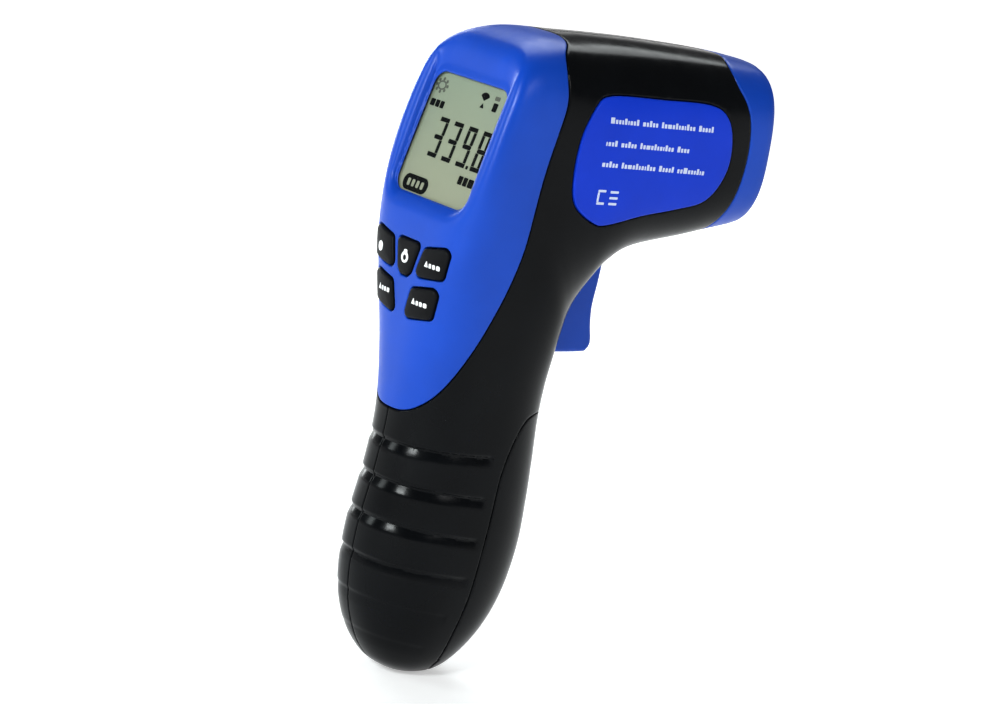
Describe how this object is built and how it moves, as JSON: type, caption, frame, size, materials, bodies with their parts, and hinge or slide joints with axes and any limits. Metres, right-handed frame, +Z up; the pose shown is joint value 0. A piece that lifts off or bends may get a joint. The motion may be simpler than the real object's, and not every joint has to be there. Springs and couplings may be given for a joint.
{
  "type": "handheld laser tachometer",
  "caption": "Pistol-grip optical tachometer with tilted display, keypad, sprung trigger, grooved grip and hinged battery door.",
  "frame": {"origin": "centre of the front optical opening, on the optical axis, in the plane of the nose face", "axes": "+Y out of the nose along the optical axis, +X to the right-hand side seen from the display, +Z up along the grip"},
  "size_m": [0.054, 0.1162, 0.201],
  "materials": {
    "shell_black": "satin moulded",
    "shell_blue": "satin moulded",
    "label_blue": "satin film",
    "key_rubber": "soft matte",
    "lens_glass": "polished",
    "window_clear": "polished",
    "lcd": "grey-green reflective liquid crystal",
    "white_plastic": "moulded",
    "board_green": "solder mask",
    "chip_black": "moulded",
    "steel": "plated",
    "brass": "turned",
    "battery_jacket": "printed jacket"
  },
  "bodies": {
    "case": {"right_shell": "shell_black", "left_shell": "shell_black", "display_cover": "shell_blue", "nose_ring": "shell_blue", "lens_barrel": "shell_black", "receiver_lens": "lens_glass", "laser_module": "brass", "receiver_tube": "chip_black", "sensor_board": "board_green", "photodiode": "chip_black", "right_label": "label_blue", "left_label": "label_blue", "door_hinge_pin": "steel", "trigger_pin": "steel", "trigger_switch": "chip_black", "display_window": "window_clear", "lcd_panel": "lcd", "lcd_frame": "white_plastic", "main_board": "board_green", "board_chips": "chip_black", "buzzer": "chip_black", "key_board": "board_green", "key_switches": "steel", "battery": "battery_jacket", "battery_snap": "chip_black", "case_screws": "steel", "board_screws": "steel"},
    "trigger": {"trigger": "shell_blue"},
    "door": {"battery_door": "shell_black"},
    "light_key": {"key_light": "key_rubber"},
    "power_key": {"key_power": "key_rubber"},
    "auto_key": {"key_auto": "key_rubber"},
    "record_key": {"key_record": "key_rubber"},
    "manual_key": {"key_manual": "key_rubber"}
  },
  "joints": [
    {"name": "trigger_pivot", "type": "hinge", "parent": "case", "child": "trigger", "pos_m": [0, -0.052, -0.032], "axis": [-1, 0, 0], "range_deg": [0, 7], "stiffness_Nm_per_rad": 0.12, "springref_deg": -2.86},
    {"name": "door_hinge", "type": "hinge", "parent": "case", "child": "door", "pos_m": [0, -0.0824, -0.1688], "axis": [-1, 0, 0], "range_deg": [0, 70]},
    {"name": "light_key_press", "type": "slide", "parent": "case", "child": "light_key", "axis": [0, 1, 0], "range_m": [0, 0.0008], "stiffness_N_per_m": 700, "springref_m": -0.0004},
    {"name": "power_key_press", "type": "slide", "parent": "case", "child": "power_key", "axis": [0, 1, 0], "range_m": [0, 0.0008], "stiffness_N_per_m": 700, "springref_m": -0.0004},
    {"name": "auto_key_press", "type": "slide", "parent": "case", "child": "auto_key", "axis": [0, 1, 0], "range_m": [0, 0.0008], "stiffness_N_per_m": 700, "springref_m": -0.0004},
    {"name": "record_key_press", "type": "slide", "parent": "case", "child": "record_key", "axis": [0, 1, 0], "range_m": [0, 0.0008], "stiffness_N_per_m": 700, "springref_m": -0.0004},
    {"name": "manual_key_press", "type": "slide", "parent": "case", "child": "manual_key", "axis": [0, 1, 0], "range_m": [0, 0.0008], "stiffness_N_per_m": 700, "springref_m": -0.0004}
  ]
}
